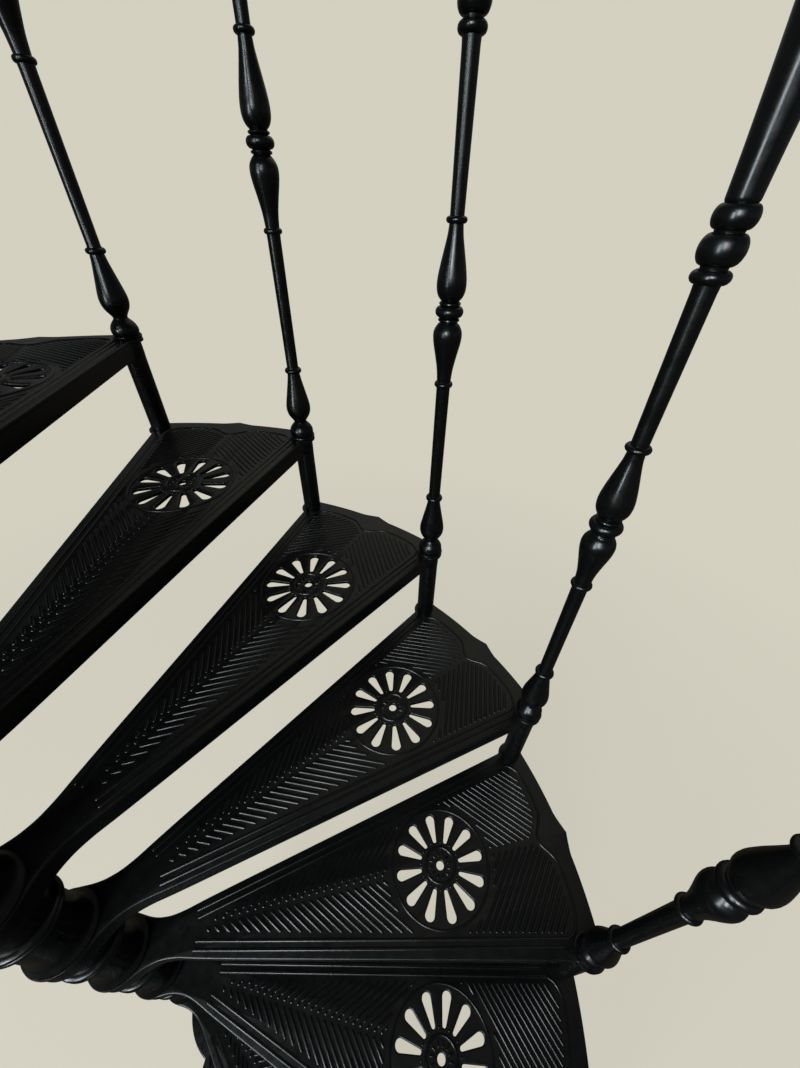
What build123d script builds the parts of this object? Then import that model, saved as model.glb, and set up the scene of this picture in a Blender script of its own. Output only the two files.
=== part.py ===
from build123d import *
from math import asin, atan2, cos, degrees, hypot, pi, radians, sin, sqrt
import os

# A cast metal spiral staircase of one storey, in millimetres.
# Origin on the floor at the axis of the newel, +Z up. It climbs anticlockwise seen from above,
# and the front corner of the first tread stands on the +X axis. Each tread is pinched between
# the tube and baluster on its front corner and the tube that stands on its rear corner.
# Turned and round pieces that repeat are few-sided, so that the whole stair stays light. Their
# radii are those of their flats.

# The flight
turned_flats = 6
tread_count = 13
treads_per_turn = 15
rise = 190
baluster_circle = 792

# Newel
pole_radius = 30
pole_wall = 4
bore_clearance = 0.3
sleeve_wall = 7
sleeve_foot_radius = 47
sleeve_foot_height = 30
sleeve_bead_radius = 45
sleeve_bead_height = 9
sleeve_beads_above_foot = 94
base_radius = 150
base_flats = 16
base_thickness = 14
base_bolt_circle = 105
base_bolt_hole_radius = 7
base_bolt_count = 4

# Tread castings
rim_beyond_balusters = 21
plate_thickness = 7
skirt_depth = 35
skirt_wall = 6
hub_radius = 48
hub_flats = 8
neck_half_width = 17
edge_beyond_balusters = 11
waist_distance = 80
waist_half_width = 26
neck_end_distance = 160
boss_half_width = 20
rim_flats = 2
ogee_half_width = 28
ogee_height = 6

# Perforated rosette
rosette_distance = 560
petal_count = 12
petal_inner = 35
petal_outer = 86
petal_shoulder = 77
petal_inner_width = 10
petal_width = 20
rosette_hole_radius = 9.5
rosette_hole_flats = 6

# Tubes between the treads, and balusters
tube_radius = 19.5
tube_foot_radius = 30
tube_foot_thickness = 6
head_radius = 19
seat_gap = 0.3

# Handrail
rail_height = 950
rail_width = 48
rail_depth = 36
rail_corner = 11
rail_pieces = 4
rail_chords = 10
rail_overrun = 4

# Landing and finial
landing_rim_flats = 9
landing_rear_edge = 20
landing_bolt_middle = 430
landing_bolt_spacing = 500
landing_bolt_depth = 21
landing_bolt_hole_radius = 6
finial_flats = 8

# Turned profiles: height and radius, from the foot upwards
baluster_profile = [
    (0, 27), (5, 27), (14, 24), (34, 12), (66, 24), (136, 12), (143, 16), (150, 11),
    (360, 11), (368, 14.5), (376, 11), (441, 21.5), (457, 12), (476, 20), (488, 13), (505, 21),
    (576, 9.5), (583, 14), (590, 9.5), (738, 10), (746, 16), (755, 11), (766, 17.5), (777, 11),
    (788, 16.5), (798, 12),
]
finial_profile = [
    (0, 48), (14, 42), (30, 37), (62, 37), (70, 44), (80, 34), (94, 24), (108, 24), (128, 42),
    (154, 50), (180, 42), (206, 8),
]
step_angle = 360 / treads_per_turn
half_step = radians(step_angle / 2)
pitch = rise * treads_per_turn
landing_number = tread_count + 1
landing_height = landing_number * rise
hub_bore = pole_radius + bore_clearance
sleeve_radius = hub_bore + sleeve_wall
rim_radius = baluster_circle + rim_beyond_balusters
corner_x = baluster_circle * cos(half_step)
corner_y = baluster_circle * sin(half_step)
edge_slope = (corner_y + edge_beyond_balusters - neck_half_width) / corner_x

os.makedirs("parts", exist_ok=True)


def tread_plane(number):
    """Plane of a tread's top face, X along the tread's middle."""
    return Plane.XY.rotated((0, 0, (number - 0.5) * step_angle)).offset(number * rise)


def corner_plane(number, height=0):
    """Plane square to the baluster at a tread's front corner, X pointing away from the newel."""
    frame = Plane.XY.rotated((0, 0, (number - 1) * step_angle)).offset(number * rise + height)
    return Plane(origin=frame.from_local_coords((baluster_circle, 0, 0)), x_dir=frame.x_dir)


def edge_y(x, inset=0):
    """Half width of a tread on its straight edge, moved inwards square to the edge by an inset."""
    return neck_half_width + edge_slope * x - inset * hypot(1, edge_slope)


def edge_end(reach, inset=0):
    """Angle from the tread's middle at which its straight edge meets a circle about the newel."""
    start = edge_y(0, inset)
    x = (sqrt(reach ** 2 * (1 + edge_slope ** 2) - start ** 2) - edge_slope * start)
    x /= 1 + edge_slope ** 2
    return atan2(edge_y(x, inset), x)


def turned(profile, flats):
    """Few-sided turned solid on the Z axis: what the silhouette leaves from every side."""
    foot, head = profile[0][0], profile[-1][0]
    widest = max(radius for height, radius in profile)
    with BuildPart() as piece:
        for index in range(flats // 2):
            with BuildSketch(Plane.XZ.rotated((0, 0, index * 360 / flats))):
                with BuildLine():
                    Polyline((0, foot), *[(radius, height) for height, radius in profile], (0, head))
                    mirror(about=Plane.YZ)
                make_face()
            extrude(amount=2 * widest, both=True, mode=Mode.INTERSECT if index else Mode.ADD)
    return piece.part


# One petal opening of the rosette, narrow towards the middle
with BuildSketch() as petal:
    with BuildLine():
        Polyline((petal_inner, 0), (petal_inner, petal_inner_width / 2),
                 (petal_shoulder, petal_width / 2), (petal_outer, 0))
        mirror(about=Plane.XZ)
    make_face()

# Outline of a tread with the waist of its neck, its straight edges, rim and ogee
rim_end = edge_end(rim_radius)
ogee_end = asin(ogee_half_width / rim_radius)
rim_angles = [rim_end + (ogee_end - rim_end) * index / rim_flats for index in range(rim_flats + 1)]
with BuildSketch() as tread_outline:
    with BuildLine():
        Polyline((0, 0), (0, hub_radius / 2), (waist_distance, waist_half_width),
                 (neck_end_distance, edge_y(neck_end_distance)),
                 *[(rim_radius * cos(angle), rim_radius * sin(angle)) for angle in rim_angles],
                 (rim_radius + ogee_height, 0))
        mirror(about=Plane.XZ)
    make_face()
    RegularPolygon(hub_radius, hub_flats, major_radius=False, rotation=180 / hub_flats)

# Hollow under the plate, inside the skirt and clear of the corner bosses
hollow_far = rim_radius * cos(rim_end) - skirt_wall
hollow_edge = corner_x - boss_half_width
with BuildSketch() as tread_hollow:
    with BuildLine():
        Polyline((neck_end_distance, 0), (neck_end_distance, edge_y(neck_end_distance, skirt_wall)),
                 (hollow_edge, edge_y(hollow_edge, skirt_wall)),
                 (hollow_far, corner_y - boss_half_width), (hollow_far, 0))
        mirror(about=Plane.XZ)
    make_face()

# One tread casting: plate, skirt, hub, corner bosses and the perforated rosette
with BuildPart() as casting:
    with BuildSketch():
        add(tread_outline.sketch)
    extrude(amount=-skirt_depth)
    with BuildSketch(Plane.XY.offset(-skirt_depth)):
        add(tread_hollow.sketch)
    extrude(amount=skirt_depth - plate_thickness, mode=Mode.SUBTRACT)
    with BuildSketch():
        with Locations((rosette_distance, 0)):
            RegularPolygon(rosette_hole_radius, rosette_hole_flats)
            with PolarLocations(0, petal_count):
                add(petal.sketch)
        RegularPolygon(hub_bore, hub_flats, major_radius=False, rotation=180 / hub_flats)
    extrude(amount=-skirt_depth, mode=Mode.SUBTRACT)

for number in range(1, tread_count + 1):
    with BuildPart(tread_plane(number)) as tread:
        add(casting.part)
    tread.part.label = f"tread_{number:02d}"
    export_step(tread.part, f"parts/{tread.part.label}.step")

# Base flange, bolted to the floor
with BuildPart() as base_flange:
    with BuildSketch():
        RegularPolygon(base_radius, base_flats)
        RegularPolygon(hub_bore, hub_flats, major_radius=False, mode=Mode.SUBTRACT)
        with PolarLocations(base_bolt_circle, base_bolt_count):
            Circle(base_bolt_hole_radius, mode=Mode.SUBTRACT)
    extrude(amount=base_thickness)
base_flange.part.label = "base_flange"
export_step(base_flange.part, "parts/base_flange.step")

# Newel pole, through the hubs of all the treads and of the landing
with BuildPart() as newel_pole:
    with BuildSketch():
        Circle(pole_radius)
        Circle(pole_radius - pole_wall, mode=Mode.SUBTRACT)
    extrude(amount=landing_height)
newel_pole.part.label = "newel_pole"
export_step(newel_pole.part, "parts/newel_pole.step")

# Newel sleeves: flared foot, shaft and a pair of beads, one under each tread and the landing
sleeves = []
for number in range(1, landing_number + 1):
    bottom = base_thickness if number == 1 else (number - 1) * rise
    top = number * rise - skirt_depth
    beads = (number - 1) * rise + sleeve_beads_above_foot
    sleeve_profile = [
        (bottom, sleeve_foot_radius), (bottom + sleeve_foot_height, sleeve_radius),
        (beads, sleeve_radius),
        (beads + sleeve_bead_height / 2, sleeve_bead_radius),
        (beads + sleeve_bead_height, sleeve_radius),
        (beads + 3 * sleeve_bead_height / 2, sleeve_bead_radius),
        (beads + 2 * sleeve_bead_height, sleeve_radius), (top, sleeve_radius),
    ]
    with BuildPart() as sleeve:
        add(turned(sleeve_profile, turned_flats))
        with BuildSketch(Plane.XY.offset(bottom)):
            RegularPolygon(hub_bore, turned_flats, major_radius=False, rotation=180 / turned_flats)
        extrude(amount=top - bottom, mode=Mode.SUBTRACT)
    sleeves.append(sleeve.part)
newel_sleeves = Compound(label="newel_sleeves", children=sleeves)
export_step(newel_sleeves, "parts/newel_sleeves.step")

# Finial on the newel
finial = turned(finial_profile, finial_flats).moved(Location((0, 0, landing_height)))
finial.label = "newel_finial"
export_step(finial, "parts/newel_finial.step")

def landing_face(inset):
    """Landing outline, moved inwards by an inset: a tread's front edge, the rim, and a straight
    rear edge along X that meets the upper floor."""
    reach = rim_radius - inset
    rear_y = landing_rear_edge - inset
    middle_turn = (landing_number - 0.5) * step_angle
    front_turn = middle_turn - degrees(edge_end(reach, inset))
    front_far = Vector(reach, 0).rotate(Axis.Z, front_turn)
    front_near = Vector(0, -edge_y(0, inset)).rotate(Axis.Z, middle_turn)
    rear_turn = 360 + degrees(asin(rear_y / reach))
    rim_turns = [front_turn + (rear_turn - front_turn) * index / landing_rim_flats
                 for index in range(1, landing_rim_flats)]
    rim = [Vector(reach, 0).rotate(Axis.Z, turn) for turn in rim_turns]
    rear_far = Vector(sqrt(reach ** 2 - rear_y ** 2), rear_y)
    with BuildSketch() as outline:
        with BuildLine():
            Polyline(front_near, front_far, *rim, rear_far, (front_near.X, rear_y), close=True)
        make_face()
    return outline.sketch


with BuildPart() as landing:
    with BuildSketch(Plane.XY.offset(landing_height)):
        add(landing_face(0))
        RegularPolygon(hub_radius, hub_flats, major_radius=False)
    extrude(amount=-skirt_depth)
    with BuildSketch(Plane.XY.offset(landing_height - skirt_depth)):
        add(landing_face(skirt_wall))
        RegularPolygon(hub_radius + skirt_wall, hub_flats, major_radius=False, mode=Mode.SUBTRACT)
    extrude(amount=skirt_depth - plate_thickness, mode=Mode.SUBTRACT)
    with BuildSketch(corner_plane(landing_number)):
        RegularPolygon(boss_half_width, turned_flats)
    extrude(amount=-skirt_depth)
    with BuildSketch(Plane.XY.offset(landing_height)):
        RegularPolygon(hub_bore, hub_flats, major_radius=False)
    extrude(amount=-skirt_depth, mode=Mode.SUBTRACT)
    bolt_place = (landing_bolt_middle, landing_rear_edge, landing_height - landing_bolt_depth)
    with BuildSketch(Plane(origin=bolt_place, x_dir=(1, 0, 0), z_dir=(0, 1, 0))):
        with GridLocations(landing_bolt_spacing, 0, 2, 1):
            Circle(landing_bolt_hole_radius)
    extrude(amount=-skirt_wall, mode=Mode.SUBTRACT)
landing.part.label = "landing_plate"
export_step(landing.part, "parts/landing_plate.step")

# Spacer tubes: from the rear corner of one tread up to the front corner of the next
tubes = []
for number in range(1, landing_number + 1):
    foot = corner_plane(number, -rise)
    with BuildPart() as tube:
        with BuildSketch(foot):
            RegularPolygon(tube_radius, turned_flats, major_radius=False)
        extrude(amount=rise - skirt_depth)
        if number == 1:
            with BuildSketch(foot):
                RegularPolygon(tube_foot_radius, turned_flats, major_radius=False)
            extrude(amount=tube_foot_thickness)
    tubes.append(tube.part)
spacer_tubes = Compound(label="spacer_tubes", children=tubes)
export_step(spacer_tubes, "parts/spacer_tubes.step")

# One baluster on its collar, cut at the top along the slope of the rail
slope = atan2(pitch, 2 * pi * baluster_circle)
head_height = rail_height - rail_depth / 2 / cos(slope) - seat_gap
with BuildPart() as turned_baluster:
    add(turned(baluster_profile + [(head_height + head_radius, head_radius)], turned_flats))
    split(bisect_by=Plane(origin=(0, 0, head_height), z_dir=(0, -sin(slope), cos(slope))),
          keep=Keep.BOTTOM)

for number in range(1, landing_number + 1):
    with BuildPart(corner_plane(number)) as baluster:
        add(turned_baluster.part)
    baluster.part.label = f"baluster_{number:02d}"
    export_step(baluster.part, f"parts/{baluster.part.label}.step")

# Handrail: a helix in straight chords whose middles lie over the balusters' circle
rail_turn = (landing_number - 1) * step_angle + 2 * rail_overrun
chord_turn = rail_turn / (rail_pieces * rail_chords)
chord_circle = baluster_circle / cos(radians(chord_turn / 2))
for index in range(rail_pieces):
    with BuildPart() as rail:
        for joint in range(rail_chords + 1):
            turn = (index * rail_chords + joint) * chord_turn - rail_overrun
            run = radians(turn)
            place = (chord_circle * cos(run), chord_circle * sin(run),
                     rise + rail_height + pitch * turn / 360)
            along = (-sin(run) * cos(slope), cos(run) * cos(slope), sin(slope))
            with BuildSketch(Plane(origin=place, x_dir=(cos(run), sin(run), 0), z_dir=along)) as cut:
                Rectangle(rail_width, rail_depth)
                chamfer(cut.vertices(), rail_corner)
        loft(ruled=True)
    rail.part.label = f"handrail_{index + 1}"
    export_step(rail.part, f"parts/{rail.part.label}.step")
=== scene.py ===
from math import asin, atan2, cos, hypot, pi, radians, sin, sqrt, tan
import bmesh
import bpy
from mathutils import Matrix, Vector
from mathutils.geometry import tessellate_polygon


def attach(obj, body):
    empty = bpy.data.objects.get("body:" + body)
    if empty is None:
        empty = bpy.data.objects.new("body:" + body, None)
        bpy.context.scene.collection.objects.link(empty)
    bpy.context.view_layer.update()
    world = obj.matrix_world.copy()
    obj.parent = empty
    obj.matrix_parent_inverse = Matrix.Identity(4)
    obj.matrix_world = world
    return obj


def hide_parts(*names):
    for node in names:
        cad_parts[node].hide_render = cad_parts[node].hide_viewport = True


# The looks of a cast metal spiral staircase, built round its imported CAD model.
# Lengths are in millimetres up to the point where a mesh is handed to Blender, in metres.
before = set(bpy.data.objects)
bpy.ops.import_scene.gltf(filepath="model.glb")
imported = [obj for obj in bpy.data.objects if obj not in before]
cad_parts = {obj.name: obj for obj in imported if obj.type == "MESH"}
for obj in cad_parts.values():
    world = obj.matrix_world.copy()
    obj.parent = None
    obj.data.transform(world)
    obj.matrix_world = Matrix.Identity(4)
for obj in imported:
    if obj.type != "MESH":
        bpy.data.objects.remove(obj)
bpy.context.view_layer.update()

# Sizes shared with the CAD model
TREAD_COUNT = 13
LANDING_NUMBER = TREAD_COUNT + 1
TREADS_PER_TURN = 15
RISE = 190.0
BALUSTER_CIRCLE = 792.0
HUB_BORE = 30.3
HUB_RADIUS = 48.0
PLATE_THICKNESS = 7.0
SKIRT_DEPTH = 35.0
SKIRT_WALL = 6.0
NECK_END = 160.0
ROSETTE_X = 560.0
PETAL_COUNT = 12
TUBE_RADIUS = 19.5
BASE_RADIUS = 150.0
BASE_THICKNESS = 14.0
BASE_BOLT_CIRCLE = 105.0
BASE_BOLT_HOLE = 7.0
BASE_BOLT_COUNT = 4
RAIL_HEIGHT = 950.0
RAIL_WIDTH = 48.0
RAIL_DEPTH = 36.0
RAIL_PIECES = 4
RAIL_OVERRUN = 4.0
LANDING_REAR_EDGE = 20.0
LANDING_BOLTS = ((180.0, -21.0), (680.0, -21.0))
LANDING_BOLT_HOLE = 6.0

# Rim and straight edge of the finished treads, a few millimetres off the CAD model's
RIM_RADIUS = 815.5
EDGE_AT_AXIS = 11.3
EDGE_SLOPE = 0.213

STEP_ANGLE = 360 / TREADS_PER_TURN
HALF_STEP = radians(STEP_ANGLE / 2)
PITCH = RISE * TREADS_PER_TURN
SLOPE = atan2(PITCH, 2 * pi * BALUSTER_CIRCLE)
CORNER = (BALUSTER_CIRCLE * cos(HALF_STEP), BALUSTER_CIRCLE * sin(HALF_STEP))
BALUSTER_HEAD = RAIL_HEIGHT - RAIL_DEPTH / 2 / cos(SLOPE)
DIAGONAL = sqrt(0.5)

# The camera's place in metres, its turn in degrees and its lens in millimetres
CAMERA_PLACE = (0.0463, 0.4635, 1.9360)
CAMERA_TURN = (50.730, -0.894, 96.114)
CAMERA_LENS = 13.94


def make_camera():
    """The photograph's camera: it stands inside the stair and looks down across the treads."""
    data = bpy.data.cameras.new("camera")
    data.sensor_width = 36
    data.lens = CAMERA_LENS
    data.clip_start = 0.02
    camera = bpy.data.objects.new("camera", data)
    camera.location = CAMERA_PLACE
    camera.rotation_euler = [radians(turn) for turn in CAMERA_TURN]
    bpy.context.scene.collection.objects.link(camera)
    bpy.context.scene.camera = camera


make_camera()


# Points in a plane
def arc(middle, radius, start, end, count):
    """Points on a circle from one angle to another, both ends included."""
    turns = [start + (end - start) * k / (count - 1) for k in range(count)]
    return [(middle[0] + radius * cos(t), middle[1] + radius * sin(t)) for t in turns]


def circle(middle, radius, count, clockwise=True):
    """Points once round a circle."""
    points = arc(middle, radius, 0, 2 * pi, count + 1)[:-1]
    return list(reversed(points)) if clockwise else points


def through(points, steps):
    """A smooth line through points, with some steps between each two."""
    ends = [tuple(2 * a - b for a, b in zip(points[0], points[1]))]
    ends += list(points) + [tuple(2 * a - b for a, b in zip(points[-1], points[-2]))]
    line = []
    for before, here, there, after in zip(ends, ends[1:], ends[2:], ends[3:]):
        for k in range(steps):
            t = k / steps
            line.append(tuple(
                0.5 * (2 * b + (c - a) * t + (2 * a - 5 * b + 4 * c - d) * t * t
                       + (3 * b - a - 3 * c + d) * t ** 3)
                for a, b, c, d in zip(before, here, there, after)))
    return line + [tuple(points[-1])]


def turned(points, turn):
    """The same points turned about the newel."""
    return [(x * cos(turn) - y * sin(turn), x * sin(turn) + y * cos(turn)) for x, y in points]


def mirrored(points):
    """The same line on the other side of the X axis, drawn the other way round."""
    return [(x, -y) for x, y in reversed(points)]


def angle_to(middle, point):
    """Angle at which one point lies seen from another."""
    return atan2(point[1] - middle[1], point[0] - middle[0])


def edge_y(x, inset=0):
    """Half width of a tread on its straight edge, moved inwards square to the edge by an inset."""
    return EDGE_AT_AXIS + EDGE_SLOPE * x - inset * hypot(1, EDGE_SLOPE)


# Turned profiles: (height, radius) from the foot upwards
def bead(middle, half, base, crest, steps=8):
    """A rounded ring on a turned piece, from its lower edge to its upper edge."""
    turns = [pi * (k / steps - 0.5) for k in range(steps + 1)]
    return [(middle + half * sin(t), base + (crest - base) * cos(t)) for t in turns]


# Height from which a baluster's head follows the slope of the rail
BALUSTER_LEAN_START = 840.0
BALUSTER_PROFILE = (
    [(0, 25.6), (3.6, 26.4), (5.0, 25.8), (5.4, 22.6)]
    + through([(6.5, 23.2), (12, 24.4), (19, 23.7), (26, 20.2), (31, 15.8), (34, 13.2)], 5)
    + through([(35, 12.6), (38, 13.0), (43, 16.0), (50, 20.6), (58, 23.6), (66, 24.5), (76, 23.6),
               (92, 20.4), (110, 16.6), (126, 13.4), (136, 12.0)], 4)
    + bead(142.5, 4.8, 11.6, 16.2)
    + [(150, 11.0), (250, 10.9), (358, 11.0)]
    + bead(367.5, 4.2, 11.2, 15.0)
    + through([(373, 11.2), (392, 13.0), (412, 16.8), (428, 20.3), (440, 21.9), (449, 20.9),
               (456, 17.0), (460, 13.2)], 5)
    + bead(463.6, 2.4, 12.6, 16.0, 6)
    + bead(474.5, 7.6, 13.4, 20.8, 10)
    + bead(485.2, 2.4, 12.6, 16.0, 6)
    + through([(488.5, 13.0), (493, 17.2), (499, 20.0), (507, 21.2), (518, 20.6), (534, 17.8),
               (552, 13.9), (566, 11.0), (576, 9.8)], 5)
    + bead(583, 4.2, 9.6, 14.2)
    + [(590, 9.5), (660, 9.9), (734, 10.4)]
    + bead(746, 5.6, 10.8, 16.4)
    + [(752.6, 11.0)]
    + bead(765.5, 11.6, 11.2, 18.4, 14)
    + bead(787.5, 8.6, 11.6, 17.0, 12)
    + [(797.4, 12.4), (799, 12.6)]
    + through([(800, 12.6), (830, 13.6), (865, 15.4), (900, 17.6), (BALUSTER_HEAD + 3, 19.0)], 4)
)
# A sleeve's foot, and its pair of beads by their middles above the tread below or the floor
SLEEVE_SHAFT = 37.3
SLEEVE_FOOT = through([(0, 47.0), (3, 46.6), (6.5, 44.4), (11, 41.4), (18, 38.9), (28, 37.6),
                       (40, SLEEVE_SHAFT)], 4)
SLEEVE_BEADS = (98.4, 107.6)
SLEEVE_BEAD_HALF = 4.4
SLEEVE_BEAD_RADIUS = 44.6
FINIAL_PROFILE = (
    [(0, 48.0), (4, 48.0)]
    + through([(5, 47.6), (9, 45.6), (15, 41.2), (24, 38.2), (34, 37.3)], 4)
    + [(60, 37.3)]
    + bead(70, 7.5, 37.3, 44.0)
    + through([(79, 35.0), (86, 29.0), (96, 24.6), (105, 24.4)], 5)
    + bead(109, 3.4, 24.6, 29.0, 6)
    + through([(113, 26.0), (122, 38.6), (136, 47.0), (153, 50.0), (170, 47.2), (184, 38.6),
               (192, 27.0), (196, 16.0)], 6)
    + through([(197, 12.0), (199, 12.4), (203, 11.6), (206, 7.0), (207, 0.0)], 4)
)
# Feet of a tube on a tread, and of the one on the floor with its flange
TUBE_FOOT = [(0, TUBE_RADIUS - 0.6), (0.8, TUBE_RADIUS)]
FLOOR_TUBE_FOOT = ([(0, 29.4), (0.8, 30), (4.6, 30), (6, 28.8), (6.3, 24)]
                   + through([(6.6, 23.4), (9, 21.2), (14, TUBE_RADIUS)], 4))


# Mesh building
def band(bm, low, high):
    """Faces between two rings that run the same way round."""
    for k in range(len(low)):
        n = (k + 1) % len(low)
        bm.faces.new((low[k], low[n], high[n], high[k]))


def lathe(bm, profile, segments, middle=(0, 0)):
    """A turned piece round a vertical axis. Its ends are closed with flat faces, and a last point
    on the axis closes it to a tip."""
    tip = profile[-1] if profile[-1][1] == 0 else None
    rings = []
    for height, radius in profile[:-1] if tip else profile:
        ring = circle(middle, radius, segments, clockwise=False)
        rings.append([bm.verts.new((x, y, height)) for x, y in ring])
    for low, high in zip(rings, rings[1:]):
        band(bm, low, high)
    bm.faces.new(list(reversed(rings[0])))
    if tip:
        point = bm.verts.new((*middle, tip[0]))
        for k, vert in enumerate(rings[-1]):
            bm.faces.new((vert, rings[-1][(k + 1) % segments], point))
    else:
        bm.faces.new(rings[-1])


def outward_steps(contour):
    """For each point of a closed contour, the step that moves both of its sides outwards by one.
    At a sharp point the step is shorter."""
    steps = []
    for k, (x, y) in enumerate(contour):
        before, after = contour[k - 1], contour[(k + 1) % len(contour)]
        into = Vector((x - before[0], y - before[1])).normalized()
        away = Vector((after[0] - x, after[1] - y)).normalized()
        across = (into.y + away.y, -into.x - away.x)
        scale = 2 / max(across[0] ** 2 + across[1] ** 2, 0.6)
        steps.append((across[0] * scale, across[1] * scale))
    return steps


def slab(bm, outline, holes, top, bottom, top_round, bottom_round, hole_round=None, steps=3):
    """A flat casting with openings and rounded edges. The outline runs anticlockwise and the
    openings clockwise. The openings' upper edges may have a rounding of their own."""
    turns = [pi / 2 * k / steps for k in range(steps + 1)]
    first, last = [], []
    for contour in [outline] + list(holes):
        edge = top_round if contour is outline or hole_round is None else hole_round
        levels = [(edge * (1 - sin(t)), top - edge * (1 - cos(t))) for t in turns]
        levels += [(bottom_round * (1 - cos(t)), bottom + bottom_round * (1 - sin(t))) for t in turns]
        sides = outward_steps(contour)
        rings = [[bm.verts.new((x - nx * inset, y - ny * inset, z))
                  for (x, y), (nx, ny) in zip(contour, sides)] for inset, z in levels]
        for high, low in zip(rings, rings[1:]):
            band(bm, low, high)
        first.append(rings[0])
        last.append(rings[-1])
    for loops, up in ((first, True), (last, False)):
        flat = [v for loop in loops for v in loop]
        for a, b, c in tessellate_polygon([[v.co.xy.to_3d() for v in loop] for loop in loops]):
            p, q, r = flat[a].co, flat[b].co, flat[c].co
            turning = (q.x - p.x) * (r.y - p.y) - (q.y - p.y) * (r.x - p.x)
            if abs(turning) > 1e-9:
                face = (flat[a], flat[b], flat[c])
                bm.faces.new(face if (turning > 0) == up else tuple(reversed(face))).tag = True


# A raised line's section, as shares of its half width and height, and how its ends round off, as
# shares of the half width along it and of the full size
RIB_SECTION = ((-1.02, -0.35), (-0.98, 0.06), (-0.8, 0.42), (-0.5, 0.79), (-0.18, 0.975),
               (0.18, 0.975), (0.5, 0.79), (0.8, 0.42), (0.98, 0.06), (1.02, -0.35))
RIB_END = ((0.0, 0.12), (0.14, 0.5), (0.5, 0.87), (1.0, 1.0))
# A dot's profile, as shares of its height and radius, and how deep its root is
DOT_SECTION = ((0, 1.0), (0.42, 0.84), (0.76, 0.58), (0.95, 0.28), (1.0, 0))
DOT_ROOT = 0.6


def rib(bm, path, half_width, height, base=0.0, closed=False):
    """A raised rounded line on a casting along a path of points, with rounded ends."""
    points = [Vector(p) for p in path]
    if closed:
        stations = [(p, 1.0) for p in points]
    else:
        out, back = (points[1] - points[0]).normalized(), (points[-2] - points[-1]).normalized()
        start = [(points[0] + out * half_width * s, size) for s, size in RIB_END]
        end = [(points[-1] + back * half_width * s, size) for s, size in reversed(RIB_END)]
        stations = start + [(p, 1.0) for p in points[1:-1]] + end
    count = len(stations)
    rings = []
    for k, (point, size) in enumerate(stations):
        before = stations[k - 1][0] if k or closed else point
        after = stations[(k + 1) % count][0] if k < count - 1 or closed else point
        along = (after - before).normalized()
        rings.append([bm.verts.new((point.x - along.y * u * half_width * size,
                                    point.y + along.x * u * half_width * size,
                                    base + v * height * (size if v > 0 else 1)))
                      for u, v in RIB_SECTION])
    for k in range(count if closed else count - 1):
        band(bm, rings[(k + 1) % count], rings[k])
    if not closed:
        bm.faces.new(rings[0])
        bm.faces.new(list(reversed(rings[-1])))


def dot(bm, x, y, radius, height, segments=12):
    """A raised round dot on the top of a tread or of the landing."""
    profile = [(-DOT_ROOT, radius)] + [(height * up, radius * out) for up, out in DOT_SECTION]
    lathe(bm, profile, segments, (x, y))


def stretches(start, direction, reach, allowed, step=0.5):
    """The unbroken stretches of a line that lie in an allowed area."""
    found, inside = [], []
    for k in range(int(reach / step) + 1):
        point = (start[0] + direction[0] * k * step, start[1] + direction[1] * k * step)
        if allowed(*point):
            inside.append(point)
        elif inside:
            found.append((inside[0], inside[-1]))
            inside = []
    return found + ([(inside[0], inside[-1])] if inside else [])


def mesh_from(bm, name, sharp=32):
    """A finished mesh in metres, smooth except on tagged flat faces and at edges sharper than
    an angle."""
    for face in bm.faces:
        face.smooth = not face.tag
    bmesh.ops.transform(bm, matrix=Matrix.Scale(0.001, 4), verts=bm.verts)
    bm.normal_update()
    mesh = bpy.data.meshes.new(name)
    bm.to_mesh(mesh)
    bm.free()
    mesh.set_sharp_from_angle(angle=radians(sharp))
    return mesh


def place(mesh, name, material, nodes, matrix=None):
    """Puts a piece in the scene, in its place, for the CAD nodes that it stands for."""
    piece = bpy.data.objects.new(name, mesh)
    bpy.context.scene.collection.objects.link(piece)
    if matrix is not None:
        piece.matrix_world = matrix
    if not mesh.materials:
        mesh.materials.append(material)
    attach(piece, "root")
    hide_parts(*nodes)


def at_turn(degrees, height, distance=0):
    """The place at a turn about the newel, a height and a distance from it, X pointing away."""
    turn = Matrix.Rotation(radians(degrees), 4, "Z")
    return turn @ Matrix.Translation((distance / 1000, 0, height / 1000))


# Materials
def node(tree, kind, settings=None, **inputs):
    """A new shader node with its settings and its unlinked inputs set."""
    made = tree.nodes.new(kind)
    for name, value in (settings or {}).items():
        setattr(made, name, value)
    for name, value in inputs.items():
        made.inputs[name.replace("_", " ")].default_value = value
    return made


def ramped(tree, source, low, high, out_low=0.0, out_high=1.0):
    """A number taken from one range to another, and held at its ends."""
    ramp = node(tree, "ShaderNodeMapRange", {"clamp": True})
    for socket, value in zip(("From Min", "From Max", "To Min", "To Max"),
                             (low, high, out_low, out_high)):
        ramp.inputs[socket].default_value = value
    tree.links.new(source, ramp.inputs["Value"])
    return ramp.outputs["Result"]


def computed(tree, operation, a, b):
    """Two numbers multiplied or subtracted."""
    made = node(tree, "ShaderNodeMath", {"operation": operation})
    tree.links.new(a, made.inputs[0])
    tree.links.new(b, made.inputs[1])
    return made.outputs[0]


def blended(tree, factor, a, b):
    """Two colours mixed. Either may be a socket or a colour."""
    mix = node(tree, "ShaderNodeMix", {"data_type": "RGBA"})
    tree.links.new(factor, mix.inputs[0])
    for socket, value in ((mix.inputs[6], a), (mix.inputs[7], b)):
        if isinstance(value, tuple):
            socket.default_value = (*value, 1)
        else:
            tree.links.new(value, socket)
    return mix.outputs[2]


def height_in(tree, vector):
    """The Z of a place or a direction."""
    parts = node(tree, "ShaderNodeSeparateXYZ")
    tree.links.new(vector, parts.inputs[0])
    return parts.outputs["Z"]


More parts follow.
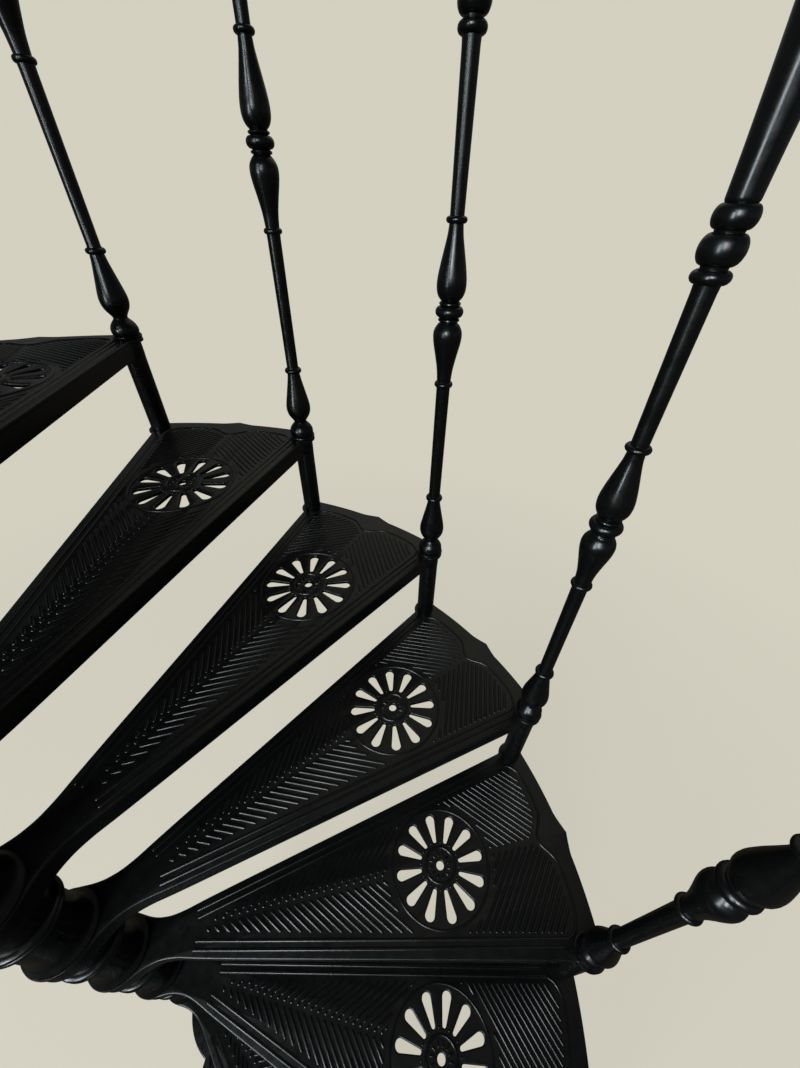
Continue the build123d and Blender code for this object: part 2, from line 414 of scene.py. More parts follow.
# How far the paint's warm clouds are from its tone, and the tones of worn edges and of dust
WARM_SHIFT = (1.45, 1.28, 1.1)
WORN_TONE = (0.014, 0.0135, 0.013)
DUST_TONE = (0.0075, 0.007, 0.0062)


def black_paint(name, tone, roughness, bump_height, treaded=False):
    """Black paint on cast iron: uneven tone and gloss, a fine grain, worn edges and a little dust.
    On a tread the raised lines are polished by feet and the dust lies between them. The height of
    the bumps is in metres."""
    material = bpy.data.materials.new(name)
    material.use_nodes = True
    tree = material.node_tree
    tree.nodes.clear()
    place_in_piece = node(tree, "ShaderNodeTexCoord").outputs["Object"]
    geometry = node(tree, "ShaderNodeNewGeometry")

    def noise(scale, detail):
        made = node(tree, "ShaderNodeTexNoise", Scale=scale, Detail=detail, Roughness=0.6)
        tree.links.new(place_in_piece, made.inputs["Vector"])
        return made.outputs[0]

    clouds, patches, grain = noise(11.0, 4.0), noise(60.0, 3.0), noise(420.0, 2.0)
    warm = tuple(t * k for t, k in zip(tone, WARM_SHIFT))
    colour = blended(tree, ramped(tree, clouds, 0.4, 0.65), tone, warm)
    worn = computed(tree, "MULTIPLY", ramped(tree, geometry.outputs["Pointiness"], 0.56, 0.68),
                    ramped(tree, patches, 0.42, 0.62, 0.15, 0.8))
    colour = blended(tree, worn, colour, WORN_TONE)
    gloss = ramped(tree, patches, 0.3, 0.7, roughness - 0.05, roughness + 0.07)
    level_faces = ramped(tree, height_in(tree, geometry.outputs["Normal"]), 0.75, 0.98)
    dust = computed(tree, "MULTIPLY", level_faces, ramped(tree, clouds, 0.38, 0.7, 0.05, 0.35))
    if treaded:
        height = height_in(tree, place_in_piece)
        crest = ramped(tree, height, 0.0002, 0.0009)
        dust = computed(tree, "MULTIPLY", dust, ramped(tree, height, 0.0003, 0.001, 1.0, 0.1))
        polish = computed(tree, "MULTIPLY", crest, ramped(tree, patches, 0.3, 0.6, 0.03, 0.08))
        gloss = computed(tree, "SUBTRACT", gloss, polish)
    colour = blended(tree, dust, colour, DUST_TONE)
    bump_fine = node(tree, "ShaderNodeBump", Strength=0.02, Distance=bump_height / 5)
    tree.links.new(grain, bump_fine.inputs["Height"])
    bump = node(tree, "ShaderNodeBump", Strength=0.05, Distance=bump_height)
    tree.links.new(patches, bump.inputs["Height"])
    tree.links.new(bump_fine.outputs[0], bump.inputs["Normal"])
    shader = node(tree, "ShaderNodeBsdfPrincipled", IOR=1.42)
    tree.links.new(colour, shader.inputs["Base Color"])
    tree.links.new(gloss, shader.inputs["Roughness"])
    tree.links.new(bump.outputs[0], shader.inputs["Normal"])
    output = node(tree, "ShaderNodeOutputMaterial")
    tree.links.new(shader.outputs[0], output.inputs["Surface"])
    return material


TREAD_PAINT = black_paint("tread_paint", (0.0017, 0.0020, 0.0022), 0.31, 0.0015, treaded=True)
CASTING_PAINT = black_paint("casting_paint", (0.0017, 0.0021, 0.0023), 0.235, 0.0005)
RAIL_PAINT = black_paint("rail_paint", (0.0017, 0.0021, 0.0023), 0.23, 0.0005)


# Tread castings. Their roundings: of the plate above, below and at its petals, and of the skirt
PLATE_ROUND = 2.8
PLATE_UNDER_ROUND = 1.0
PETAL_ROUND = 2.3
SKIRT_ROUND = 0.5
SKIRT_UNDER_ROUND = 1.6
LOBE_RADIUS = 26.0
LOBE_FILLET = 7.0
OGEE_HALF_WIDTH = 36.0
OGEE_HEIGHT = 9.0
OGEE_SHARES = (0, 0.06, 0.15, 0.3, 0.5, 0.7, 0.85)
# Where the skirt stands back from the plate's edge: on the straight edge, at the lobe and at the rim
SKIRT_SETBACK = 1.4
SKIRT_LOBE_RADIUS = 19.9
SKIRT_RIM_SETBACK = 1.6
SKIRT_FILLET = 5.0
SKIRT_TOP = 0.5 - PLATE_THICKNESS
# The neck, from the straight edge to the hub. A point with no half width lies on the straight edge
NECK_LINE = [(230, None), (180, None), (140, 40.9), (122, 36.8), (100, 31.6), (80, 28.7), (66, 28.8),
             (52, 30.9), (38, 35.6), (27, 40.6), (17.6, 44.65)]


def tread_outline(inset, corner_radius, rim_radius, ogee_height, fillet):
    """Outline of a tread, anticlockwise: rim with its pointed ogee, corner lobes, straight edges,
    neck and hub."""
    slope_length = hypot(1, EDGE_SLOPE)
    along = (1 / slope_length, EDGE_SLOPE / slope_length)
    out = (-along[1], along[0])
    # Fillet between the rim and the lobe, straight outside the lobe where the lobe is small
    spread = corner_radius + fillet
    far = rim_radius + fillet
    cosine = (far ** 2 + BALUSTER_CIRCLE ** 2 - spread ** 2) / (2 * far * BALUSTER_CIRCLE)
    rim_end = HALF_STEP - atan2(sqrt(max(0.0, 1 - cosine ** 2)), cosine)
    rim_fillet = (far * cos(rim_end), far * sin(rim_end))
    # Fillet between the lobe and the straight edge
    depth = (CORNER[1] - edge_y(CORNER[0], inset)) / slope_length
    back = sqrt(spread ** 2 - (fillet - depth) ** 2)
    edge_fillet = (CORNER[0] + out[0] * (fillet - depth) - along[0] * back,
                   CORNER[1] + out[1] * (fillet - depth) - along[1] * back)
    half = [(sqrt(rim_radius ** 2 - (OGEE_HALF_WIDTH * t) ** 2) + ogee_height * (1 - t) ** 1.3,
             OGEE_HALF_WIDTH * t) for t in OGEE_SHARES]
    half += arc((0, 0), rim_radius, asin(OGEE_HALF_WIDTH / rim_radius), rim_end, 12)
    half += arc(rim_fillet, fillet, rim_end + pi, angle_to(rim_fillet, CORNER), 5)[1:]
    half += arc(CORNER, corner_radius, angle_to(CORNER, rim_fillet), angle_to(CORNER, edge_fillet),
                18)[1:]
    half += arc(edge_fillet, fillet, angle_to(edge_fillet, CORNER), atan2(-out[1], -out[0]), 5)[1:]
    half += [(x, edge_y(x, inset)) for x in (600, 420, 300)]
    neck = [(x, edge_y(x, inset) if y is None else y - inset) for x, y in NECK_LINE]
    half += through(neck, 3)
    half += arc((0, 0), HUB_RADIUS - inset, angle_to((0, 0), neck[-1]), pi, 20)[1:]
    return half + mirrored(half[1:-1])


# The hollow under a tread: where its rim ends, and its line past a corner boss, by places seen
# from the baluster's middle, up to where it is back at the straight edge
HOLLOW_REACH = RIM_RADIUS - SKIRT_WALL
HOLLOW_RIM_END = radians(9.6)
HOLLOW_RIM_BEND = (6, 28)
BOSS_LINE = ((-8, -22), (-22, -12))
BOSS_END = CORNER[0] - 26
NECK_BEND = 8


def hollow_side():
    """The hollow's line on one side of a tread, from the rim past the corner boss to the neck."""
    line = [(HOLLOW_REACH * cos(HOLLOW_RIM_END) - HOLLOW_RIM_BEND[0], CORNER[1] - HOLLOW_RIM_BEND[1])]
    line += [(CORNER[0] + x, CORNER[1] + y) for x, y in BOSS_LINE]
    line += [(BOSS_END, edge_y(BOSS_END, SKIRT_WALL) - 1)]
    line += [(x, edge_y(x, SKIRT_WALL)) for x in (500, NECK_END + NECK_BEND)]
    return line + [(NECK_END, edge_y(NECK_END, SKIRT_WALL) - NECK_BEND)]


def hollow_outline():
    """The hollow under a tread, clockwise, between the skirts and clear of the corner bosses."""
    half = arc((0, 0), HOLLOW_REACH, 0, HOLLOW_RIM_END, 6) + hollow_side() + [(NECK_END, 0)]
    return list(reversed(half + mirrored(half[1:-1])))


# A petal opening's two ends: how far from the rosette's middle, and their radii
PETAL_INNER = (39.6, 3.4)
PETAL_OUTER = (75.0, 8.5)
ROSETTE_HOLE = 7.4


def petal_outline(index):
    """One petal opening of the rosette, clockwise, with a narrow inner end and a wide outer end."""
    (inner_x, inner_radius), (outer_x, outer_radius) = PETAL_INNER, PETAL_OUTER
    lean = asin((outer_radius - inner_radius) / (outer_x - inner_x))
    shape = arc((outer_x, 0), outer_radius, -pi / 2 - lean, pi / 2 + lean, 17)
    shape += arc((inner_x, 0), inner_radius, pi / 2 + lean, 3 * pi / 2 - lean, 11)
    placed = [(ROSETTE_X + x, y) for x, y in turned(shape, 2 * pi * index / PETAL_COUNT)]
    return list(reversed(placed))


# Raised lines, each with its half width and height
OUTER_BORDER = (2.7, 1.8)
INNER_BORDER = (2.6, 1.8)
FIELD_RIB = (2.7, 1.6)
FIELD_DOT = (3.2, 1.45)
ROSETTE_RING = (2.1, 1.7)
HOLE_RING = (2.7, 2.3)
HOLE_BAR = (1.8, 1.7)
PETAL_DOT = (2.1, 1.4)
ROSETTE_RING_RADIUS = 91.3
HOLE_RING_RADIUS = 27.6
HOLE_BAR_ENDS = (13.2, 21.8)
PETAL_DOT_RADIUS = 36.5
# Border lines along a tread's sides: where each starts at the neck, and its inset there and at the
# rim, where they end
OUTER_LINE = (119.5, 11.1, 16.1)
INNER_LINE = (122.5, 22.3, 27.1)
LINE_END = 737
# The inner border line from the tip of its ogee to the corner
RIM_LINE = [(761.2, 0), (762.8, 6), (765.6, 12), (770, 18.6), (776, 26.8), (779.8, 33.6), (782.2, 41.5),
            (783.3, 52), (783, 72), (781.6, 90), (779.6, 104), (776.4, 116), (771.4, 127.0),
            (764.0, 135.6), (756, 140.4), (747.5, 142.6)]
# The ribbed fields: distance between ribs, clearance from border lines, and the rounded corner
FIELD_PITCH = 13.5
FIELD_CLEARANCE = 10.8
FIELD_INSET = 34.0
FIELD_CORNER = (745.0, 110.0)
FIELD_CORNER_RADIUS = 22.0
SHORTEST_RIB = 4.5
# Inner field: where it starts, its first rib, how many there are and how far they may reach, how
# far from the middle the dots lie and how far ahead of their ribs, and for each side how far on
# its ribs start and how far from the middle
INNER_FIELD_START = 130.0
INNER_FIELD_FIRST = 138.8
INNER_FIELD_RIBS = 25
INNER_RIB_REACH = 150
HEAD_DOT_SIDE = 8.0
HEAD_DOT_AHEAD = 1.4
INNER_RIB_STARTS = ((-1, 0, 0.6), (1, 5.6, 12.2))
# Outer field: how far past the rosette's middle it starts, its first rib, how many there are and
# how far they may reach, and their distance from the middle
OUTER_FIELD_START = ROSETTE_X + 12
OUTER_FIELD_FIRST = 667.5
OUTER_FIELD_RIBS = 17
OUTER_RIB_REACH = 260
MIDDLE_GAP = 4.8


def line_y(x, line):
    """Distance of a raised border line from the tread's middle."""
    start, near, far = line
    return edge_y(x, near + (far - near) * (x - start) / (LINE_END - start))


def rim_line_x(y):
    """Distance of the border line near the rim from the newel."""
    for (x0, y0), (x1, y1) in zip(RIM_LINE, RIM_LINE[1:]):
        if abs(y) <= y1:
            return x0 + (x1 - x0) * (abs(y) - y0) / (y1 - y0)
    return RIM_LINE[-1][0]


def inner_border():
    """The innermost raised border line of a tread, from the neck round the rim to the neck."""
    half = through(RIM_LINE, 3) + [(x, line_y(x, INNER_LINE)) for x in (730, 400, INNER_LINE[0])]
    return mirrored(half[1:]) + half


def past_corner(x, y):
    """Whether a point lies in the field's corner, outside its rounding."""
    along, aside = x - FIELD_CORNER[0], abs(y) - FIELD_CORNER[1]
    return along > 0 and aside > 0 and hypot(along, aside) > FIELD_CORNER_RADIUS


def in_field(x, y, start=0):
    """Whether a point lies in a ribbed field, clear of the border lines and the rosette."""
    return (x > start and abs(y) < edge_y(x, FIELD_INSET)
            and x < rim_line_x(y) - FIELD_CLEARANCE + 1
            and hypot(x - ROSETTE_X, y) > ROSETTE_RING_RADIUS + FIELD_CLEARANCE
            and not past_corner(x, y))


def in_inner_field(x, y):
    """Whether a point lies in the field between the neck and the rosette."""
    return in_field(x, y, INNER_FIELD_START) and x < ROSETTE_X


def in_outer_field(x, y):
    """Whether a point lies in the field between the rosette and the rim."""
    return in_field(x, y, OUTER_FIELD_START)


def ribs_along(bm, start, direction, reach, allowed):
    """Raised ribs on all allowed stretches of a line, and dots where a stretch is too short."""
    for first, last in stretches(start, direction, reach, allowed):
        if hypot(first[0] - last[0], first[1] - last[1]) > SHORTEST_RIB:
            rib(bm, (first, last), *FIELD_RIB)
        else:
            dot(bm, (first[0] + last[0]) / 2, (first[1] + last[1]) / 2, *FIELD_RIB)


def tread_relief(bm):
    """All the raised lines and dots on the top of a tread."""
    for side in (1, -1):
        rib(bm, [(x, side * line_y(x, OUTER_LINE)) for x in (OUTER_LINE[0], LINE_END)], *OUTER_BORDER)
    rib(bm, inner_border(), *INNER_BORDER)
    # Inner field: a herringbone that opens outwards, with a dot at the head of each rear rib
    for k in range(INNER_FIELD_RIBS):
        x = INNER_FIELD_FIRST + FIELD_PITCH * k
        if in_field(x, HEAD_DOT_SIDE):
            dot(bm, x + HEAD_DOT_AHEAD, HEAD_DOT_SIDE, *FIELD_DOT)
        for side, on, aside in INNER_RIB_STARTS:
            ribs_along(bm, (x + on, side * aside), (DIAGONAL, side * DIAGONAL), INNER_RIB_REACH,
                       in_inner_field)
    # Outer field: the lines run outwards from the side borders to the middle
    for k in range(OUTER_FIELD_RIBS):
        x = OUTER_FIELD_FIRST + FIELD_PITCH * k
        for side in (-1, 1):
            ribs_along(bm, (x, side * MIDDLE_GAP), (-DIAGONAL, side * DIAGONAL), OUTER_RIB_REACH,
                       in_outer_field)
    # Rosette: its ring, the ring round the hole, short bars inside that ring and dots between petals
    middle = (ROSETTE_X, 0)
    rib(bm, circle(middle, ROSETTE_RING_RADIUS, 96, clockwise=False), *ROSETTE_RING, closed=True)
    rib(bm, circle(middle, HOLE_RING_RADIUS, 48, clockwise=False), *HOLE_RING, closed=True)
    for k in range(PETAL_COUNT):
        turn = 2 * pi * k / PETAL_COUNT
        between = turn + pi / PETAL_COUNT
        rib(bm, [(ROSETTE_X + cos(turn) * far, sin(turn) * far) for far in HOLE_BAR_ENDS], *HOLE_BAR)
        dot(bm, ROSETTE_X + cos(between) * PETAL_DOT_RADIUS, sin(between) * PETAL_DOT_RADIUS, *PETAL_DOT)


def tread_mesh():
    """One tread casting, its top face at height 0 and its middle along X."""
    bm = bmesh.new()
    bore = circle((0, 0), HUB_BORE, 40)
    openings = [petal_outline(k) for k in range(PETAL_COUNT)]
    openings += [circle((ROSETTE_X, 0), ROSETTE_HOLE, 24), bore]
    slab(bm, tread_outline(0, LOBE_RADIUS, RIM_RADIUS, OGEE_HEIGHT, LOBE_FILLET), openings,
         0, -PLATE_THICKNESS, PLATE_ROUND, PLATE_UNDER_ROUND, PETAL_ROUND)
    skirt = tread_outline(SKIRT_SETBACK, SKIRT_LOBE_RADIUS, RIM_RADIUS - SKIRT_RIM_SETBACK,
                          OGEE_HEIGHT, SKIRT_FILLET)
    slab(bm, skirt, [hollow_outline(), bore], SKIRT_TOP, -SKIRT_DEPTH, SKIRT_ROUND, SKIRT_UNDER_ROUND)
    tread_relief(bm)
    return mesh_from(bm, "tread")


def make_treads():
    """The treads, all of one mesh."""
    mesh = tread_mesh()
    for number in range(1, TREAD_COUNT + 1):
        place(mesh, f"cast_tread_{number:02d}", TREAD_PAINT, [f"tread_{number:02d}"],
              at_turn((number - 0.5) * STEP_ANGLE, number * RISE))


# Landing casting, drawn in the stair's own frame with its top face at height 0
LANDING_TURN = radians((LANDING_NUMBER - 0.5) * STEP_ANGLE)
# The herringbone: its middle line's direction, its first rib, how many there are and how far they
# may reach
LANDING_MIDDLE = radians(336.7)
LANDING_FIRST = 120.0
LANDING_RIBS = 46
LANDING_RIB_REACH = 420
# The border line: its radius, its distance from the rear edge, its rounded corner and its end
LANDING_BORDER = 785.0
LANDING_BORDER_INSET = 27.0
LANDING_BORDER_CORNER = 22.0
LANDING_BORDER_END = 90.0
# The ribbed field: where it starts, and its distance from the rear edge
LANDING_FIELD_START = 135.0
LANDING_FIELD_INSET = 38.0


def landing_outline(inset, corner_radius, rear_y, fillet):
    """Outline of the landing, anticlockwise: hub, a tread's front edge and lobe, rim, and the
    straight rear edge at a distance from the stair's middle."""
    reach, hub = RIM_RADIUS - inset, HUB_RADIUS - inset
    tread = tread_outline(inset, corner_radius, reach, 0, fillet)
    front = turned(tread[len(tread) // 2:], LANDING_TURN)
    rear_turn = 2 * pi + asin(rear_y / reach)
    return (arc((0, 0), hub, asin(rear_y / hub), angle_to((0, 0), front[0]), 20) + front[1:]
            + arc((0, 0), reach, LANDING_TURN, rear_turn, 16))


def on_landing(x, y):
    """Whether a point lies in the landing's ribbed field, clear of its border line."""
    (a, b), = turned([(x, y)], -LANDING_TURN)
    return (LANDING_FIELD_START < hypot(x, y) < LANDING_BORDER - FIELD_CLEARANCE
            and y < LANDING_REAR_EDGE - LANDING_FIELD_INSET and b > -edge_y(a, FIELD_INSET)
            and not (b < 0 and past_corner(a, b)))


def landing_relief(bm):
    """The landing's raised border line, and a herringbone of ribs inside it."""
    rear_line = LANDING_REAR_EDGE - LANDING_BORDER_INSET
    front = turned([(x, -line_y(x, INNER_LINE)) for x in (INNER_LINE[0], 400, 730)]
                   + [(x, -y) for x, y in through(list(reversed(RIM_LINE[7:])), 3)], LANDING_TURN)
    inner = LANDING_BORDER - LANDING_BORDER_CORNER
    bend_turn = -asin((LANDING_BORDER_CORNER - rear_line) / inner)
    bend = (inner * cos(bend_turn), inner * sin(bend_turn))
    line = front + arc((0, 0), LANDING_BORDER, LANDING_TURN - radians(3), 2 * pi + bend_turn, 16)
    line += arc(bend, LANDING_BORDER_CORNER, bend_turn, pi / 2, 8)[1:]
    line += [(x, rear_line) for x in (400, LANDING_BORDER_END)]
    rib(bm, line, *INNER_BORDER)
    for k in range(LANDING_RIBS):
        for side in (-1, 1):
            start, ahead = turned([(LANDING_FIRST + FIELD_PITCH * k, side * MIDDLE_GAP),
                                   (DIAGONAL, side * DIAGONAL)], LANDING_MIDDLE)
            ribs_along(bm, start, ahead, LANDING_RIB_REACH, on_landing)


def make_landing():
    """The landing casting: plate, skirt, and the upright rear face with its two bolt holes."""
    bm = bmesh.new()
    rear, rear_inside = LANDING_REAR_EDGE, LANDING_REAR_EDGE - SKIRT_WALL
    near, far = HUB_RADIUS - 8, sqrt((RIM_RADIUS - SKIRT_RIM_SETBACK) ** 2 - rear ** 2)
    # Drawn lying down, then turned up
    slab(bm, [(near, -SKIRT_DEPTH), (far, -SKIRT_DEPTH), (far, SKIRT_TOP), (near, SKIRT_TOP)],
         [circle(p, LANDING_BOLT_HOLE, 24) for p in LANDING_BOLTS], -rear_inside, -rear,
         top_round=0.6, bottom_round=1.4)
    bmesh.ops.rotate(bm, verts=bm.verts, matrix=Matrix.Rotation(pi / 2, 3, "X"))
    bore = circle((0, 0), HUB_BORE, 40)
    slab(bm, landing_outline(0, LOBE_RADIUS, rear, LOBE_FILLET), [bore], 0, -PLATE_THICKNESS,
         PLATE_ROUND, PLATE_UNDER_ROUND)
    # The skirt is one band: outside from the hub round to the rear face, then back inside
    band_outline = landing_outline(SKIRT_SETBACK, SKIRT_LOBE_RADIUS, rear_inside, SKIRT_FILLET)
    band_outline += arc((0, 0), HOLLOW_REACH, asin(rear_inside / HOLLOW_REACH),
                        LANDING_TURN - 2 * pi, 12)
    inside = [(HOLLOW_REACH * cos(radians(t)), HOLLOW_REACH * sin(radians(t))) for t in (3, 6, 9)]
    inside = [(x, -y) for x, y in inside + hollow_side()]
    band_outline += turned(inside, LANDING_TURN) + [(70, rear_inside)]
    slab(bm, band_outline, [bore], SKIRT_TOP, -SKIRT_DEPTH, SKIRT_ROUND, SKIRT_UNDER_ROUND)
    landing_relief(bm)
    place(mesh_from(bm, "landing"), "cast_landing", TREAD_PAINT, ["landing_plate"],
          at_turn(0, LANDING_NUMBER * RISE))


def baluster_mesh():
    """One turned baluster on its tread corner, cut at the top along the slope of the rail."""
    bm = bmesh.new()
    lathe(bm, BALUSTER_PROFILE, 32)
    for vert in bm.verts:
        share = (vert.co.z - BALUSTER_LEAN_START) / (BALUSTER_HEAD - BALUSTER_LEAN_START)
        if share > 0:
            vert.co.z += tan(SLOPE) * vert.co.y * share
    return mesh_from(bm, "baluster")


def make_balusters():
    """The balusters, all of one mesh."""
    mesh = baluster_mesh()
    for number in range(1, LANDING_NUMBER + 1):
        place(mesh, f"turned_baluster_{number:02d}", CASTING_PAINT,
              [f"baluster_{number:02d}"],
              at_turn((number - 1) * STEP_ANGLE, number * RISE, BALUSTER_CIRCLE))


def make_sleeves():
    """The newel's sleeves, each with a flared foot and a pair of beads, as one piece. They hide
    the newel's pole."""
    bm = bmesh.new()
    for number in range(1, LANDING_NUMBER + 1):
        step_foot = (number - 1) * RISE
        bottom = BASE_THICKNESS if number == 1 else step_foot
        profile = [(bottom + height, radius) for height, radius in SLEEVE_FOOT]
        for height in SLEEVE_BEADS:
            profile += bead(step_foot + height, SLEEVE_BEAD_HALF, SLEEVE_SHAFT, SLEEVE_BEAD_RADIUS)
        profile += [(step_foot + RISE - SKIRT_DEPTH + 0.4, SLEEVE_SHAFT)]
        lathe(bm, profile, 56)
    place(mesh_from(bm, "newel_sleeve_set"), "newel_sleeve_set", CASTING_PAINT,
          ["newel_sleeves", "newel_pole"])


def make_tubes():
    """The tubes between the treads, each from a rear corner up to the next front corner."""
    bm = bmesh.new()
    for number in range(1, LANDING_NUMBER + 1):
        turn = radians((number - 1) * STEP_ANGLE)
        middle = (BALUSTER_CIRCLE * cos(turn), BALUSTER_CIRCLE * sin(turn))
        foot = FLOOR_TUBE_FOOT if number == 1 else TUBE_FOOT
        bottom = (number - 1) * RISE
        profile = [(bottom + height, radius) for height, radius in foot]
        lathe(bm, profile + [(number * RISE - PLATE_THICKNESS + 1, TUBE_RADIUS)], 40, middle)
    place(mesh_from(bm, "spacer_tube_set"), "spacer_tube_set", CASTING_PAINT,
          ["spacer_tubes"])


# The rail's section: its points, and the power that makes it rounder than a box. Its rounded ends:
# degrees from the end and the size there
RAIL_SECTION_POINTS = 28
RAIL_SECTION_POWER = 0.72
RAIL_STEPS = 40
RAIL_END = ((0.0, 0.45), (0.12, 0.72), (0.36, 0.9), (0.7, 0.98))
RAIL_END_LENGTH = 0.8


def rail_section():
    """The rail's rounded section as shares of a place, outwards and upwards."""
    def spread(share, size):
        return size / 2 * abs(share) ** RAIL_SECTION_POWER * (1 if share > 0 else -1)

    turns = [2 * pi * k / RAIL_SECTION_POINTS for k in range(RAIL_SECTION_POINTS)]
    return [(spread(cos(t), RAIL_WIDTH), spread(sin(t), RAIL_DEPTH)) for t in turns]


def rail_ring(bm, turn, size, section):
    """The rail's section at a turn from its lower end, square to the helix."""
    degrees = turn - RAIL_OVERRUN
    run = radians(degrees)
    middle = Vector((BALUSTER_CIRCLE * cos(run), BALUSTER_CIRCLE * sin(run),
                     RISE + RAIL_HEIGHT + PITCH * degrees / 360))
    out = Vector((cos(run), sin(run), 0))
    along = Vector((-sin(run) * cos(SLOPE), cos(run) * cos(SLOPE), sin(SLOPE)))
    up = out.cross(along)
    return [bm.verts.new(middle + out * x * size + up * z * size) for x, z in section]


def make_rail():
    """The helical handrail in its four lengths, with a rounded section and rounded ends."""
    section = rail_section()
    total = (LANDING_NUMBER - 1) * STEP_ANGLE + 2 * RAIL_OVERRUN
    length = total / RAIL_PIECES
    for index in range(RAIL_PIECES):
        bm = bmesh.new()
        stations = [(index * length + length * k / RAIL_STEPS, 1.0) for k in range(RAIL_STEPS + 1)]
        if index == 0:
            stations = list(RAIL_END) + [s for s in stations if s[0] > RAIL_END_LENGTH]
        if index == RAIL_PIECES - 1:
            stations = [s for s in stations if s[0] < total - RAIL_END_LENGTH]
            stations += [(total - turn, size) for turn, size in reversed(RAIL_END)]
        rings = [rail_ring(bm, turn, size, section) for turn, size in stations]
        for here, there in zip(rings, rings[1:]):
            band(bm, here, there)
        bm.faces.new(list(reversed(rings[0])))
        bm.faces.new(rings[-1])
        bmesh.ops.recalc_face_normals(bm, faces=bm.faces)
        place(mesh_from(bm, f"rail_{index + 1}"), f"helical_rail_{index + 1}", RAIL_PAINT,
              [f"handrail_{index + 1}"])


# Raised rings on the base flange: radius, half width and height
BASE_COLLAR = (62, 3.0, 2.4)
BOLT_PAD = (14, 3.0, 1.8)


def make_base():
    """The base flange with its rounded edge, a raised collar and rings round the bolt holes."""
    bm = bmesh.new()
    bolts = circle((0, 0), BASE_BOLT_CIRCLE, BASE_BOLT_COUNT, clockwise=False)
    slab(bm, circle((0, 0), BASE_RADIUS, 96, clockwise=False),
         [circle(p, BASE_BOLT_HOLE, 24) for p in bolts] + [circle((0, 0), HUB_BORE, 48)],
         BASE_THICKNESS, 0, top_round=3.5, bottom_round=0.6)
    rings = [((0, 0), BASE_COLLAR, 72)] + [(p, BOLT_PAD, 36) for p in bolts]
    for middle, (radius, half_width, height), count in rings:
        ring = circle(middle, radius, count, clockwise=False)
        rib(bm, ring, half_width, height, BASE_THICKNESS, closed=True)
    place(mesh_from(bm, "base"), "cast_base", CASTING_PAINT, ["base_flange"])


def make_finial():
    """The turned finial on the newel."""
    bm = bmesh.new()
    lathe(bm, FINIAL_PROFILE, 56)
    place(mesh_from(bm, "finial"), "turned_finial", CASTING_PAINT, ["newel_finial"],
          at_turn(0, LANDING_NUMBER * RISE))


make_treads()
make_landing()
make_balusters()
make_sleeves()
make_tubes()
make_rail()
make_base()
make_finial()


# Floor, lights and surroundings, in metres
BACKDROP = (0.66, 0.635, 0.535)
FLOOR_TONE = (0.80, 0.73, 0.62)
FLOOR_RADIUS = 60
# Distances between which the floor fades, and how far it has faded at each
FLOOR_FADE = (1.2, 3.4, 0.82, 1.0)


def make_floor():
    """A wide pale floor that fades into the surroundings far from the stair."""
    bm = bmesh.new()
    bmesh.ops.create_circle(bm, cap_ends=True, segments=96, radius=FLOOR_RADIUS)
    mesh = bpy.data.meshes.new("floor")
    bm.to_mesh(mesh)
    bm.free()
    floor = bpy.data.objects.new("floor", mesh)
    bpy.context.scene.collection.objects.link(floor)
    material = bpy.data.materials.new("floor")
    material.use_nodes = True
    tree = material.node_tree
    tree.nodes.clear()
    coordinates = node(tree, "ShaderNodeTexCoord").outputs["Object"]
    length = node(tree, "ShaderNodeVectorMath", {"operation": "LENGTH"})
    tree.links.new(coordinates, length.inputs[0])
    near = node(tree, "ShaderNodeBsdfDiffuse", Color=(*FLOOR_TONE, 1))
    glow = node(tree, "ShaderNodeEmission", Color=(*BACKDROP, 1), Strength=1.0)
    mix = node(tree, "ShaderNodeMixShader")
    tree.links.new(ramped(tree, length.outputs["Value"], *FLOOR_FADE), mix.inputs[0])
    tree.links.new(near.outputs[0], mix.inputs[1])
    tree.links.new(glow.outputs[0], mix.inputs[2])
    output = node(tree, "ShaderNodeOutputMaterial")
    tree.links.new(mix.outputs[0], output.inputs["Surface"])
    mesh.materials.append(material)
    floor.visible_glossy = False
    floor.visible_diffuse = False


LAMP_TONE = (0.90, 1.0, 1.05)


def make_light(name, place_at, aim, width, height, power, colour=(1, 1, 1)):
    """A soft light with an upright panel, turned towards a point."""
    data = bpy.data.lights.new(name, "AREA")
    data.shape = "RECTANGLE"
    data.size = width
    data.size_y = height
    data.energy = power
    data.color = colour
    light = bpy.data.objects.new(name, data)
    light.location = place_at
    light.rotation_euler = (Vector(aim) - Vector(place_at)).to_track_quat("-Z", "Y").to_euler()
    light.visible_camera = False
    bpy.context.scene.collection.objects.link(light)


def make_lights():
    """A small lamp overhead, and three tall panels behind the camera that the ribs reflect."""
    make_light("upper_lamp", (1.9, -0.75, 3.8), aim=(0, 0.2, 1.0), width=0.7, height=0.7, power=5)
    make_light("high_softbox", (3.87, -0.62, 3.9), aim=(-0.2, 0.4, 3.9), width=1.2, height=2.6,
               power=205, colour=LAMP_TONE)
    make_light("side_softbox", (3.99, 0.69, 3.9), aim=(-0.2, 0.4, 3.9), width=0.7, height=2.6,
               power=30, colour=LAMP_TONE)
    make_light("tall_strip", (3.11, -2.19, 3.25), aim=(-0.2, 0.4, 3.25), width=0.8, height=3.9,
               power=180, colour=LAMP_TONE)


# What the surroundings cast on the stair, by level: 0 is straight down and 1 straight up
WORLD_TONES = ((0.0, (0.040, 0.034, 0.026)), (0.44, (0.060, 0.056, 0.046)),
               (0.53, (0.135, 0.140, 0.130)), (0.68, (0.070, 0.075, 0.077)),
               (1.0, (0.026, 0.028, 0.030)))
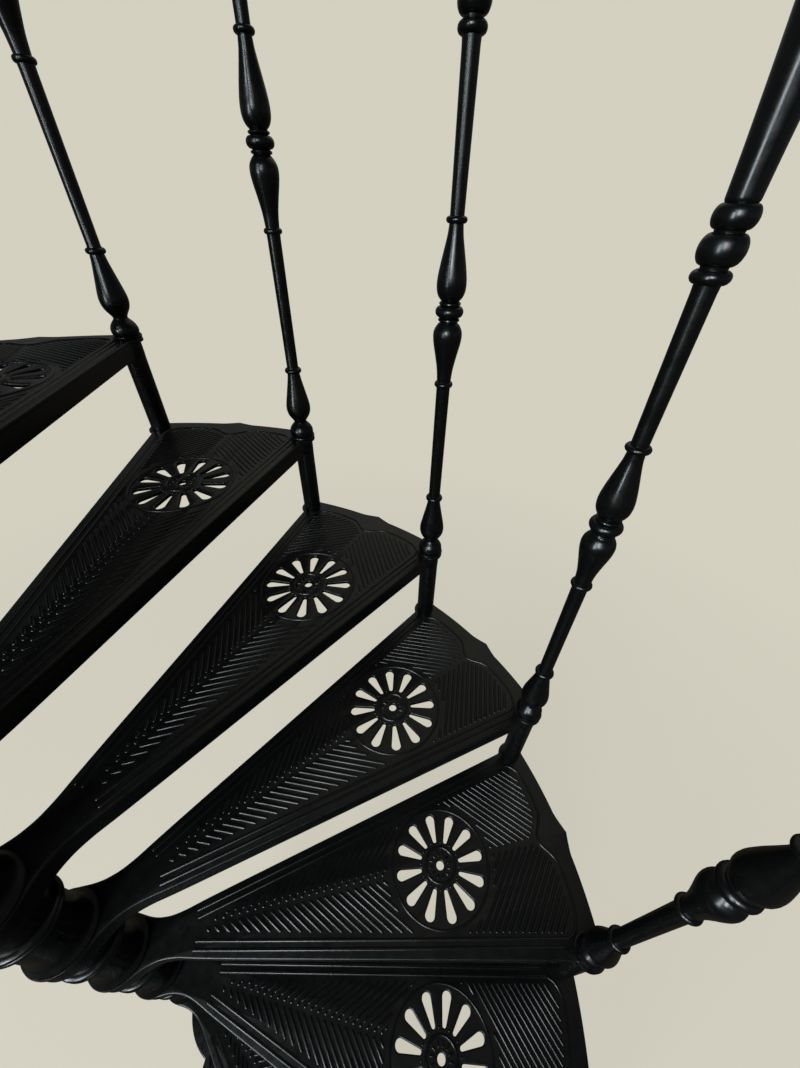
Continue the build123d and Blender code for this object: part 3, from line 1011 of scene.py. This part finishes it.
# A pale glow from one side on the plates: its direction, its tone, and where it begins and is
# full, as the cosine of the angle to its direction
GLOW_DIRECTION = (-0.6365, 0.0895, 0.766)
GLOW_TONE = (0.36, 0.35, 0.29)
GLOW_BEGINS = 0.70
GLOW_FULL = 0.95


def make_world():
    """Pale surroundings as the camera sees them. What they cast on the stair is much dimmer, and
    dims further upwards, so that the black paint stays black."""
    world = bpy.data.worlds.new("surroundings")
    bpy.context.scene.world = world
    world.use_nodes = True
    tree = world.node_tree
    tree.nodes.clear()
    around = node(tree, "ShaderNodeTexCoord").outputs["Generated"]
    levels = node(tree, "ShaderNodeValToRGB")
    stops = levels.color_ramp.elements
    stops[0].color, stops[1].color = (*WORLD_TONES[0][1], 1), (*WORLD_TONES[-1][1], 1)
    for level, tone in WORLD_TONES[1:-1]:
        stops.new(level).color = (*tone, 1)
    tree.links.new(ramped(tree, height_in(tree, around), -1.0, 1.0), levels.inputs[0])
    cast = node(tree, "ShaderNodeBackground", Strength=1.0)
    tree.links.new(levels.outputs["Color"], cast.inputs["Color"])
    nearness = node(tree, "ShaderNodeVectorMath", {"operation": "DOT_PRODUCT"})
    nearness.inputs[1].default_value = GLOW_DIRECTION
    tree.links.new(around, nearness.inputs[0])
    glow = node(tree, "ShaderNodeBackground", Color=(*GLOW_TONE, 1))
    glow_strength = ramped(tree, nearness.outputs["Value"], GLOW_BEGINS, GLOW_FULL)
    tree.links.new(glow_strength, glow.inputs["Strength"])
    both = node(tree, "ShaderNodeAddShader")
    tree.links.new(cast.outputs[0], both.inputs[0])
    tree.links.new(glow.outputs[0], both.inputs[1])
    seen = node(tree, "ShaderNodeBackground", Color=(*BACKDROP, 1), Strength=1.0)
    path = node(tree, "ShaderNodeLightPath")
    mix = node(tree, "ShaderNodeMixShader")
    tree.links.new(path.outputs["Is Camera Ray"], mix.inputs[0])
    tree.links.new(both.outputs[0], mix.inputs[1])
    tree.links.new(seen.outputs[0], mix.inputs[2])
    output = node(tree, "ShaderNodeOutputWorld")
    tree.links.new(mix.outputs[0], output.inputs["Surface"])


make_floor()
make_world()
make_lights()
bpy.context.scene.view_settings.view_transform = "Standard"

bpy.context.view_layer.update()
